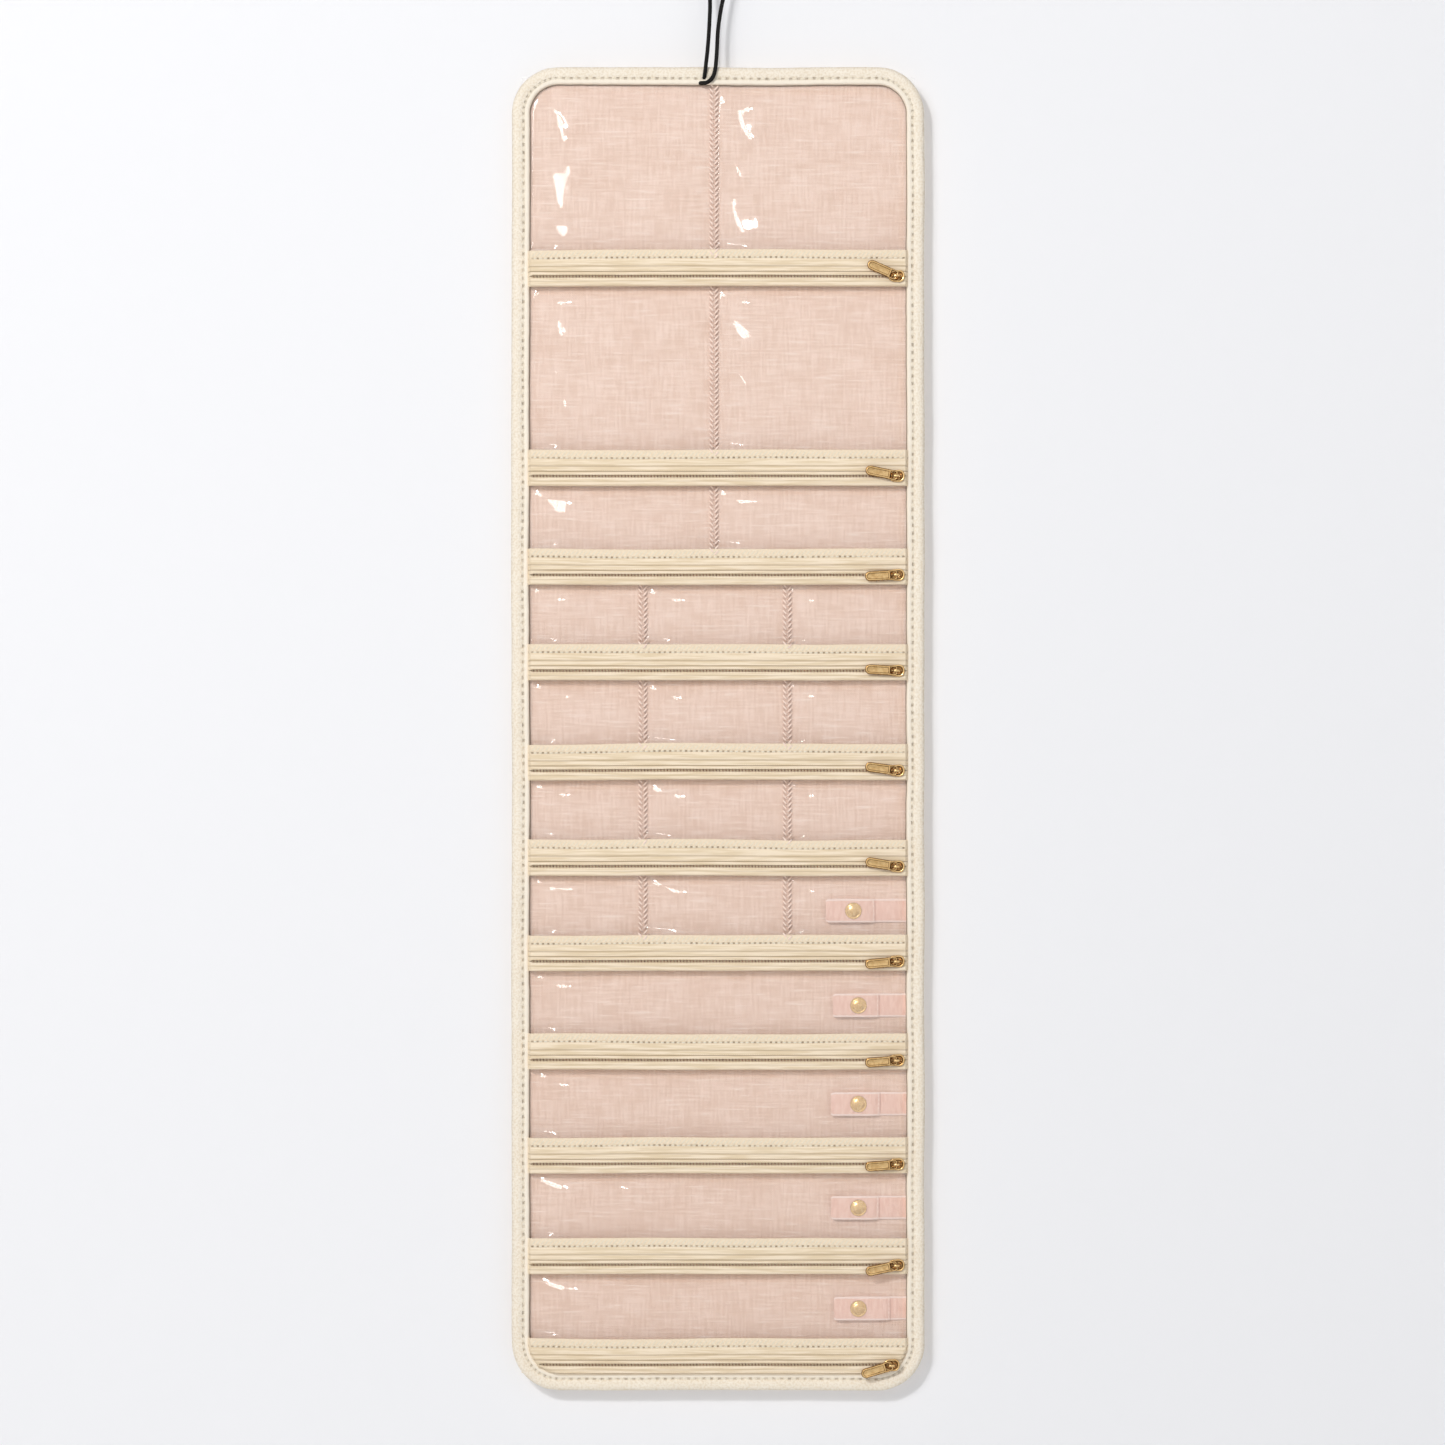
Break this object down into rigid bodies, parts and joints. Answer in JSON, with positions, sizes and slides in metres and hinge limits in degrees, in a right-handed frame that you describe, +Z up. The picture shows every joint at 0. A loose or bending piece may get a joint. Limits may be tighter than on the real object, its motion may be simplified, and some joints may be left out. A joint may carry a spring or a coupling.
{
  "type": "hanging jewelry organizer",
  "caption": "Bound fabric panel with rows of clear zipped pockets, snap straps inside the lower ones, hung on a cord loop; folds back on itself, sliders run, pulls flip.",
  "frame": {"origin": "inside top of the cord loop, where the hook carries it", "axes": "+Z up along the panel, -Y out of the front towards the viewer, +X to the viewer's right"},
  "size_m": [0.203, 0.016, 0.6984],
  "materials": {
    "lining_cloth": "matte",
    "binding_tape": "matte",
    "zip_tape": "matte",
    "clear_film": "gloss",
    "gold_metal": "polished",
    "strap_ribbon": "satin",
    "cord": "matte"
  },
  "bodies": {
    "cord_loop": {"hanging_cord": "cord"},
    "upper_section": {"cord_tie": "cord", "backing_upper": "lining_cloth", "binding_upper": "binding_tape", "window_film_01": "clear_film", "zip_tape_01": "zip_tape", "window_film_02": "clear_film", "zip_tape_02": "zip_tape", "window_film_03": "clear_film", "zip_tape_03": "zip_tape", "window_film_04": "clear_film", "zip_tape_04": "zip_tape", "window_film_05": "clear_film", "zip_tape_05": "zip_tape"},
    "lower_section": {"backing_lower": "lining_cloth", "binding_lower": "binding_tape", "window_film_06": "clear_film", "zip_tape_06": "zip_tape", "window_film_07": "clear_film", "zip_tape_07": "zip_tape", "strap_base_07": "strap_ribbon", "window_film_08": "clear_film", "zip_tape_08": "zip_tape", "strap_base_08": "strap_ribbon", "window_film_09": "clear_film", "zip_tape_09": "zip_tape", "strap_base_09": "strap_ribbon", "window_film_10": "clear_film", "zip_tape_10": "zip_tape", "strap_base_10": "strap_ribbon", "window_film_11": "clear_film", "zip_tape_11": "zip_tape", "strap_base_11": "strap_ribbon"},
    "slider_01": {"zip_slider_01": "gold_metal"},
    "pull_01": {"zip_pull_01": "gold_metal"},
    "slider_02": {"zip_slider_02": "gold_metal"},
    "pull_02": {"zip_pull_02": "gold_metal"},
    "slider_03": {"zip_slider_03": "gold_metal"},
    "pull_03": {"zip_pull_03": "gold_metal"},
    "slider_04": {"zip_slider_04": "gold_metal"},
    "pull_04": {"zip_pull_04": "gold_metal"},
    "slider_05": {"zip_slider_05": "gold_metal"},
    "pull_05": {"zip_pull_05": "gold_metal"},
    "slider_06": {"zip_slider_06": "gold_metal"},
    "pull_06": {"zip_pull_06": "gold_metal"},
    "slider_07": {"zip_slider_07": "gold_metal"},
    "pull_07": {"zip_pull_07": "gold_metal"},
    "strap_07": {"snap_strap_07": "strap_ribbon"},
    "slider_08": {"zip_slider_08": "gold_metal"},
    "pull_08": {"zip_pull_08": "gold_metal"},
    "strap_08": {"snap_strap_08": "strap_ribbon"},
    "slider_09": {"zip_slider_09": "gold_metal"},
    "pull_09": {"zip_pull_09": "gold_metal"},
    "strap_09": {"snap_strap_09": "strap_ribbon"},
    "slider_10": {"zip_slider_10": "gold_metal"},
    "pull_10": {"zip_pull_10": "gold_metal"},
    "strap_10": {"snap_strap_10": "strap_ribbon"},
    "slider_11": {"zip_slider_11": "gold_metal"},
    "pull_11": {"zip_pull_11": "gold_metal"},
    "strap_11": {"snap_strap_11": "strap_ribbon"}
  },
  "joints": [
    {"name": "panel_swing", "type": "hinge", "parent": "cord_loop", "child": "upper_section", "pos_m": [0, -0.00565, -0.0495], "axis": [-1, 0, 0], "range_deg": [0, 90]},
    {"name": "panel_fold", "type": "hinge", "parent": "upper_section", "child": "lower_section", "pos_m": [0, 0.0028, -0.3965], "axis": [1, 0, 0], "range_deg": [0, 180], "stiffness_Nm_per_rad": 0.02, "springref_deg": -34.38},
    {"name": "zip_slide_01", "type": "slide", "parent": "upper_section", "child": "slider_01", "axis": [-1, 0, 0], "range_m": [0, 0.175]},
    {"name": "pull_flip_01", "type": "hinge", "parent": "slider_01", "child": "pull_01", "pos_m": [0.0875, -0.00815, -0.1493], "axis": [0.4067, 0, 0.9135], "range_deg": [0, 180]},
    {"name": "zip_slide_02", "type": "slide", "parent": "upper_section", "child": "slider_02", "axis": [-1, 0, 0], "range_m": [0, 0.175]},
    {"name": "pull_flip_02", "type": "hinge", "parent": "slider_02", "child": "pull_02", "pos_m": [0.0875, -0.00815, -0.2473], "axis": [0.1994, 0, 0.9799], "range_deg": [0, 180]},
    {"name": "zip_slide_03", "type": "slide", "parent": "upper_section", "child": "slider_03", "axis": [-1, 0, 0], "range_m": [0, 0.175]},
    {"name": "pull_flip_03", "type": "hinge", "parent": "slider_03", "child": "pull_03", "pos_m": [0.0875, -0.00815, -0.2958], "axis": [-0.0523, 0, 0.9986], "range_deg": [0, 180]},
    {"name": "zip_slide_04", "type": "slide", "parent": "upper_section", "child": "slider_04", "axis": [-1, 0, 0], "range_m": [0, 0.175]},
    {"name": "pull_flip_04", "type": "hinge", "parent": "slider_04", "child": "pull_04", "pos_m": [0.0875, -0.00815, -0.3428], "axis": [0.0523, 0, 0.9986], "range_deg": [0, 180]},
    {"name": "zip_slide_05", "type": "slide", "parent": "upper_section", "child": "slider_05", "axis": [-1, 0, 0], "range_m": [0, 0.175]},
    {"name": "pull_flip_05", "type": "hinge", "parent": "slider_05", "child": "pull_05", "pos_m": [0.0875, -0.00815, -0.3918], "axis": [0.1392, 0, 0.9903], "range_deg": [0, 180]},
    {"name": "zip_slide_06", "type": "slide", "parent": "lower_section", "child": "slider_06", "axis": [-1, 0, 0], "range_m": [0, 0.175]},
    {"name": "pull_flip_06", "type": "hinge", "parent": "slider_06", "child": "pull_06", "pos_m": [0.0875, -0.00815, -0.4388], "axis": [0.165, 0, 0.9863], "range_deg": [0, 180]},
    {"name": "zip_slide_07", "type": "slide", "parent": "lower_section", "child": "slider_07", "axis": [-1, 0, 0], "range_m": [0, 0.175]},
    {"name": "pull_flip_07", "type": "hinge", "parent": "slider_07", "child": "pull_07", "pos_m": [0.0875, -0.00815, -0.4853], "axis": [-0.0958, 0, 0.9954], "range_deg": [0, 180]},
    {"name": "strap_open_07", "type": "hinge", "parent": "lower_section", "child": "strap_07", "pos_m": [0.077, -0.0012, -0.4607], "axis": [0, 0, 1], "range_deg": [0, 8]},
    {"name": "zip_slide_08", "type": "slide", "parent": "lower_section", "child": "slider_08", "axis": [-1, 0, 0], "range_m": [0, 0.175]},
    {"name": "pull_flip_08", "type": "hinge", "parent": "slider_08", "child": "pull_08", "pos_m": [0.0875, -0.00815, -0.5338], "axis": [-0.0785, 0, 0.9969], "range_deg": [0, 180]},
    {"name": "strap_open_08", "type": "hinge", "parent": "lower_section", "child": "strap_08", "pos_m": [0.079, -0.0012, -0.5072], "axis": [0, 0, 1], "range_deg": [0, 8]},
    {"name": "zip_slide_09", "type": "slide", "parent": "lower_section", "child": "slider_09", "axis": [-1, 0, 0], "range_m": [0, 0.175]},
    {"name": "pull_flip_09", "type": "hinge", "parent": "slider_09", "child": "pull_09", "pos_m": [0.0875, -0.00815, -0.5848], "axis": [-0.0785, 0, 0.9969], "range_deg": [0, 180]},
    {"name": "strap_open_09", "type": "hinge", "parent": "lower_section", "child": "strap_09", "pos_m": [0.0795, -0.0012, -0.5557], "axis": [0, 0, 1], "range_deg": [0, 8]},
    {"name": "zip_slide_10", "type": "slide", "parent": "lower_section", "child": "slider_10", "axis": [-1, 0, 0], "range_m": [0, 0.175]},
    {"name": "pull_flip_10", "type": "hinge", "parent": "slider_10", "child": "pull_10", "pos_m": [0.0875, -0.00815, -0.6343], "axis": [-0.2079, 0, 0.9781], "range_deg": [0, 180]},
    {"name": "strap_open_10", "type": "hinge", "parent": "lower_section", "child": "strap_10", "pos_m": [0.079, -0.0012, -0.6067], "axis": [0, 0, 1], "range_deg": [0, 8]},
    {"name": "zip_slide_11", "type": "slide", "parent": "lower_section", "child": "slider_11", "axis": [-1, 0, 0], "range_m": [0, 0.1726]},
    {"name": "pull_flip_11", "type": "hinge", "parent": "slider_11", "child": "pull_11", "pos_m": [0.0851, -0.00815, -0.6833], "axis": [-0.2924, 0, 0.9563], "range_deg": [0, 180]},
    {"name": "strap_open_11", "type": "hinge", "parent": "lower_section", "child": "strap_11", "pos_m": [0.0845, -0.0012, -0.6562], "axis": [0, 0, 1], "range_deg": [0, 8]}
  ]
}
